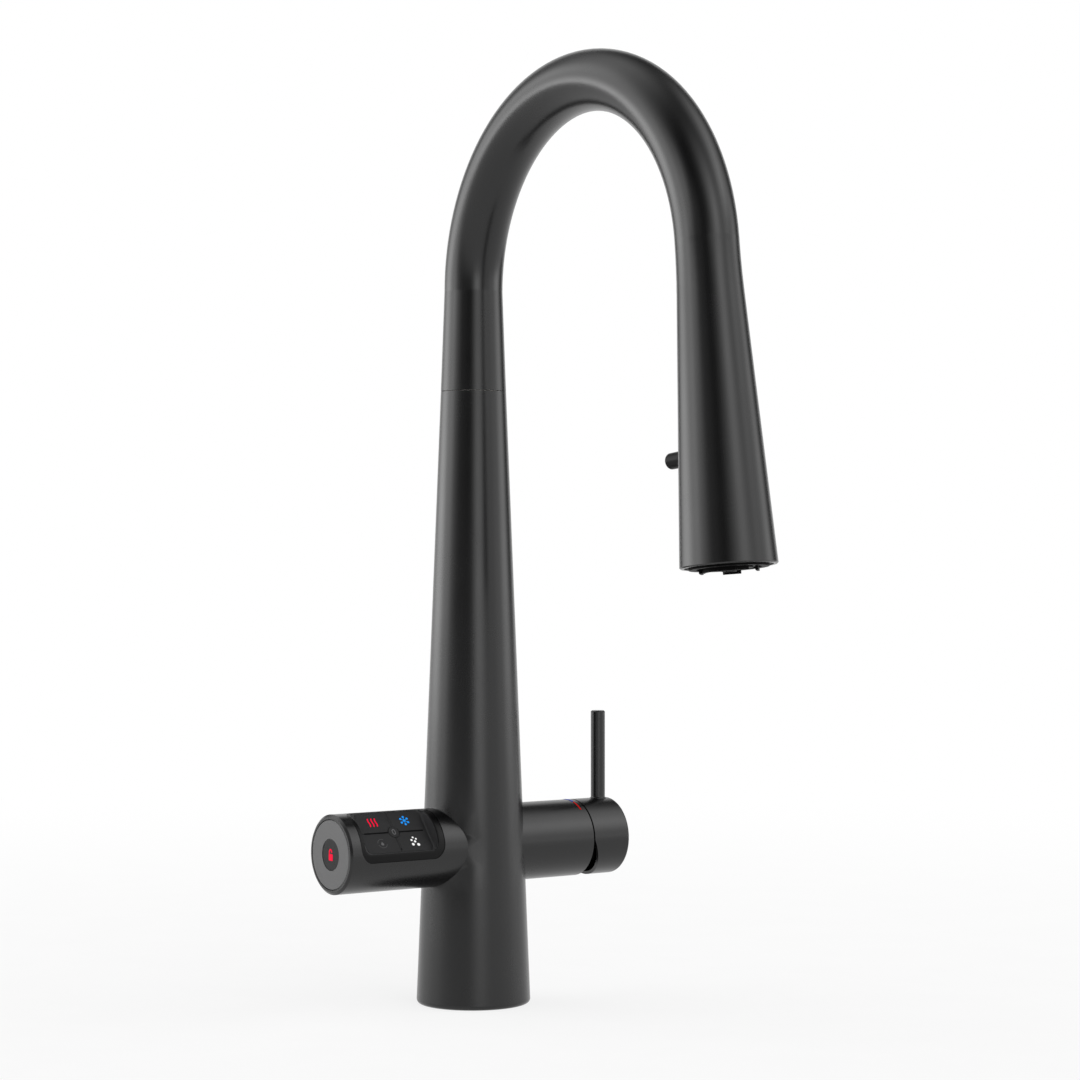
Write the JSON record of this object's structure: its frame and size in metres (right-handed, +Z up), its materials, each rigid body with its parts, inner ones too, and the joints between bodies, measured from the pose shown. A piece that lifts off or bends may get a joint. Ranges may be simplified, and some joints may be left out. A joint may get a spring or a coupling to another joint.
{
  "type": "boiling water tap",
  "caption": "Single-hole kitchen tap with a swan-neck swivel spout, a side mixer lever and a side control pod for boiling, chilled and sparkling water.",
  "frame": {"origin": "centre of the foot's underside, on the deck", "axes": "+Z up; the spout reaches toward -Y; the mixer lever is on the +X side and the control pod on the -X side"},
  "size_m": [0.1528, 0.2301, 0.4235],
  "materials": {
    "satin_black_coat": "satin black powder coat",
    "black_plastic": "fine matt black",
    "key_plastic": "soft matt dark grey",
    "lens_plastic": "smooth smoked",
    "inner_plastic": "moulded, unfinished",
    "bearing_plastic": "plain bearing plastic",
    "ceramic_cartridge": "plastic-cased ceramic cartridge",
    "rubber": "plain",
    "brass": "machined",
    "copper_pipe": "drawn copper, weighed as brass",
    "steel": "stainless, plain",
    "board": "lacquered",
    "red_enamel": "smooth",
    "blue_enamel": "smooth"
  },
  "bodies": {
    "body": {"column": "satin_black_coat", "base_insert": "brass", "base_seal": "rubber", "hot_pipe": "copper_pipe", "cold_pipe": "copper_pipe", "boiling_pipe": "steel", "chilled_pipe": "steel", "mixed_pipe": "steel", "pod_housing": "satin_black_coat", "pod_bulkhead": "inner_plastic", "panel_frame": "black_plastic", "panel_seal": "rubber", "control_board": "board", "key_switches": "black_plastic", "panel_light": "lens_plastic", "control_cable": "rubber", "lock_guide": "inner_plastic", "lock_switch": "black_plastic", "lock_pad": "rubber", "handle_body": "satin_black_coat", "hot_mark": "red_enamel", "cold_mark": "blue_enamel", "valve_body": "brass", "cartridge": "ceramic_cartridge", "cartridge_nut": "brass", "swivel_neck": "brass", "lower_bush": "bearing_plastic", "upper_bush": "bearing_plastic", "swivel_seals": "rubber", "thrust_washer": "bearing_plastic", "retaining_clip": "steel"},
    "spout": {"spout_shell": "satin_black_coat", "spout_collar": "brass", "spout_manifold": "inner_plastic", "mixed_tube": "steel", "boiling_tube": "steel", "chilled_tube": "steel", "head_block": "inner_plastic", "outlet_plate": "black_plastic", "nozzle_ring": "black_plastic", "aerator_insert": "inner_plastic", "boiling_nozzle": "black_plastic", "knob_sleeve": "black_plastic", "knob_spring": "steel"},
    "diverter": {"diverter_knob": "black_plastic"},
    "hot_key": {"key_hot": "key_plastic"},
    "cold_key": {"key_cold": "key_plastic"},
    "still_key": {"key_still": "key_plastic"},
    "sparkling_key": {"key_sparkling": "key_plastic"},
    "lock": {"lock_plate": "satin_black_coat", "lock_lens": "lens_plastic"},
    "mixer_carrier": {"carrier": "steel", "cross_pin": "steel"},
    "mixer_lever": {"stem": "steel", "lever_cap": "satin_black_coat", "lever_pin": "satin_black_coat", "cap_screw": "steel"}
  },
  "joints": [
    {"name": "spout_swivel", "type": "hinge", "parent": "body", "child": "spout", "pos_m": [0, 0, 0.28], "axis": [0, 0, 1], "range_deg": [-75, 75]},
    {"name": "temperature_turn", "type": "hinge", "parent": "body", "child": "mixer_carrier", "pos_m": [0.05614, 0, 0.0722], "axis": [1, 0, 0], "range_deg": [-16, 50]},
    {"name": "flow_tilt", "type": "hinge", "parent": "mixer_carrier", "child": "mixer_lever", "pos_m": [0.05614, 0, 0.0722], "axis": [0, 1, 0], "range_deg": [0, 20]},
    {"name": "hot_key_push", "type": "slide", "parent": "body", "child": "hot_key", "axis": [0, 0.766, -0.6428], "range_m": [0, 0.0004], "stiffness_N_per_m": 1500, "springref_m": -0.0004},
    {"name": "cold_key_push", "type": "slide", "parent": "body", "child": "cold_key", "axis": [0, 0.766, -0.6428], "range_m": [0, 0.0004], "stiffness_N_per_m": 1500, "springref_m": -0.0004},
    {"name": "still_key_push", "type": "slide", "parent": "body", "child": "still_key", "axis": [0, 0.766, -0.6428], "range_m": [0, 0.0004], "stiffness_N_per_m": 1500, "springref_m": -0.0004},
    {"name": "sparkling_key_push", "type": "slide", "parent": "body", "child": "sparkling_key", "axis": [0, 0.766, -0.6428], "range_m": [0, 0.0004], "stiffness_N_per_m": 1500, "springref_m": -0.0004},
    {"name": "lock_push", "type": "slide", "parent": "body", "child": "lock", "axis": [1, 0, 0], "range_m": [0, 0.0008], "stiffness_N_per_m": 1500, "springref_m": -0.0005},
    {"name": "diverter_push", "type": "slide", "parent": "spout", "child": "diverter", "axis": [0, -0.9944, 0.1056], "range_m": [0, 0.0025], "stiffness_N_per_m": 500, "springref_m": -0.003}
  ]
}
